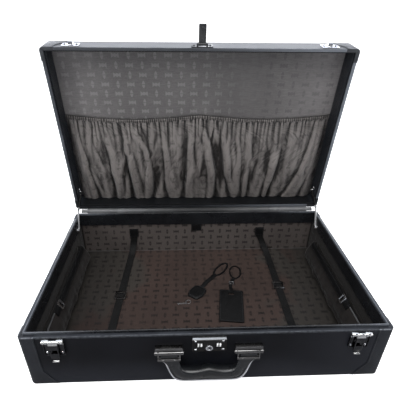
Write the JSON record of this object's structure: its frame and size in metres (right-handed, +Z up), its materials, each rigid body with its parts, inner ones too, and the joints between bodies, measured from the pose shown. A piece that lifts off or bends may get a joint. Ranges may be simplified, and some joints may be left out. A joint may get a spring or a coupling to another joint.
{
  "type": "hard travel case",
  "caption": "Hard-sided leather travel case with a hinged lid on folding stays, hasp latches, a combination lock, a drop handle, side pockets and a ruched lid pocket.",
  "frame": {"origin": "centre of the base's underside", "axes": "+X to the case's right along its width, +Y to the hinges, +Z up"},
  "size_m": [0.7, 0.5255, 0.6252],
  "materials": {
    "board": "raw grey-brown fibre board",
    "covering": "grained black covering, slight sheen",
    "binding": "black leather binding, worn at the edges",
    "soft_leather": "smooth black leather",
    "lining": "woven grey-brown lining with a small figured pattern",
    "pocket_cloth": "satin grey-brown cloth, gathered",
    "webbing": "black webbing",
    "chrome": "bright plated",
    "dark_chrome": "smoked plated, fine scratches",
    "black_metal": "black lacquered",
    "steel": "bare steel"
  },
  "bodies": {
    "base": {"base_shell": "board", "base_cover": "covering", "base_rim": "binding", "base_lip": "binding", "base_corners": "binding", "base_lining": "lining", "floor_lining": "lining", "side_pockets": "webbing", "side_straps": "webbing", "buckles": "chrome", "packing_strap_left": "webbing", "packing_strap_right": "webbing", "strap_sliders": "chrome", "strap_anchors": "binding", "lock_case": "dark_chrome", "lock_socket": "chrome", "dial_shafts": "steel", "latch_plate_left": "dark_chrome", "latch_plate_right": "dark_chrome", "hasp_pins": "chrome", "handle_bracket_left": "chrome", "handle_bracket_right": "chrome", "handle_pins": "chrome", "base_screws": "chrome", "hinge_base_leaves": "chrome", "hinge_pins": "steel", "hinge_gusset": "soft_leather", "stay_base_pivots": "chrome", "luggage_tag": "soft_leather", "tag_loop": "soft_leather", "key_case": "soft_leather", "key_strap": "soft_leather", "keys": "chrome"},
    "lid": {"stay_lid_pivots": "chrome", "lid_shell": "board", "lid_cover": "covering", "lid_rim": "binding", "lid_corners": "binding", "lid_liner": "binding", "lid_lining": "lining", "lid_pocket": "pocket_cloth", "pocket_elastic": "pocket_cloth", "lid_catches": "chrome", "tab_plate": "black_metal", "lid_screws": "chrome", "hinge_lid_leaves": "chrome"},
    "centre_hasp": {"lock_tab": "black_metal"},
    "hasp_left": {"latch_hasp_left": "chrome"},
    "hasp_right": {"latch_hasp_right": "chrome"},
    "handle": {"handle_grip": "soft_leather", "handle_loops": "chrome"},
    "wheel_1": {"dial_1": "chrome"},
    "wheel_2": {"dial_2": "chrome"},
    "wheel_3": {"dial_3": "chrome"},
    "wheel_4": {"dial_4": "chrome"},
    "bolt": {"lock_bolt": "steel"},
    "lower_arm_left": {"stay_lower_left": "chrome"},
    "lower_arm_right": {"stay_lower_right": "chrome"},
    "upper_arm_left": {"stay_upper_left": "chrome"},
    "upper_arm_right": {"stay_upper_right": "chrome"}
  },
  "joints": [
    {"name": "lid_hinge", "type": "hinge", "parent": "base", "child": "lid", "pos_m": [0, 0.229, 0.134], "axis": [1, 0, 0], "range_deg": [0, 82], "deforming": ["hinge_gusset"]},
    {"name": "centre_hasp_hinge", "type": "hinge", "parent": "lid", "child": "centre_hasp", "pos_m": [0, 0.16904, 0.58505], "axis": [1, 0, 0], "range_deg": [-80, 90]},
    {"name": "hasp_left_hinge", "type": "hinge", "parent": "base", "child": "hasp_left", "pos_m": [-0.2857, -0.2245, 0.1275], "axis": [-1, 0, 0], "range_deg": [0, 180]},
    {"name": "hasp_right_hinge", "type": "hinge", "parent": "base", "child": "hasp_right", "pos_m": [0.2857, -0.2245, 0.1275], "axis": [-1, 0, 0], "range_deg": [0, 180]},
    {"name": "handle_hinge", "type": "hinge", "parent": "base", "child": "handle", "pos_m": [0, -0.228, 0.094], "axis": [-1, 0, 0], "range_deg": [0, 100]},
    {"name": "wheel_1_spin", "type": "hinge", "parent": "base", "child": "wheel_1", "pos_m": [-0.0203, -0.2202, 0.1123], "axis": [1, 0, 0], "continuous": true},
    {"name": "wheel_2_spin", "type": "hinge", "parent": "base", "child": "wheel_2", "pos_m": [-0.015, -0.2202, 0.1123], "axis": [1, 0, 0], "continuous": true},
    {"name": "wheel_3_spin", "type": "hinge", "parent": "base", "child": "wheel_3", "pos_m": [0.015, -0.2202, 0.1123], "axis": [1, 0, 0], "continuous": true},
    {"name": "wheel_4_spin", "type": "hinge", "parent": "base", "child": "wheel_4", "pos_m": [0.0203, -0.2202, 0.1123], "axis": [1, 0, 0], "continuous": true},
    {"name": "bolt_slide", "type": "slide", "parent": "base", "child": "bolt", "axis": [1, 0, 0], "range_m": [0, 0.0035], "stiffness_N_per_m": 40},
    {"name": "lower_arm_left_hinge", "type": "hinge", "parent": "base", "child": "lower_arm_left", "pos_m": [-0.33575, 0.178, 0.106], "axis": [1, 0, 0], "range_deg": [0, 82]},
    {"name": "upper_arm_left_hinge", "type": "hinge", "parent": "lower_arm_left", "child": "upper_arm_left", "pos_m": [-0.33385, 0.19863, 0.1604], "axis": [1, 0, 0], "range_deg": [-82, 0]},
    {"name": "lower_arm_right_hinge", "type": "hinge", "parent": "base", "child": "lower_arm_right", "pos_m": [0.33575, 0.178, 0.106], "axis": [1, 0, 0], "range_deg": [0, 82]},
    {"name": "upper_arm_right_hinge", "type": "hinge", "parent": "lower_arm_right", "child": "upper_arm_right", "pos_m": [0.33385, 0.19863, 0.1604], "axis": [1, 0, 0], "range_deg": [-82, 0]}
  ],
  "couplings": [
    {"joint": "lower_arm_left_hinge", "follows": "lid_hinge", "ratio": 1},
    {"joint": "upper_arm_left_hinge", "follows": "lid_hinge", "ratio": -1},
    {"joint": "lower_arm_right_hinge", "follows": "lid_hinge", "ratio": 1},
    {"joint": "upper_arm_right_hinge", "follows": "lid_hinge", "ratio": -1}
  ]
}
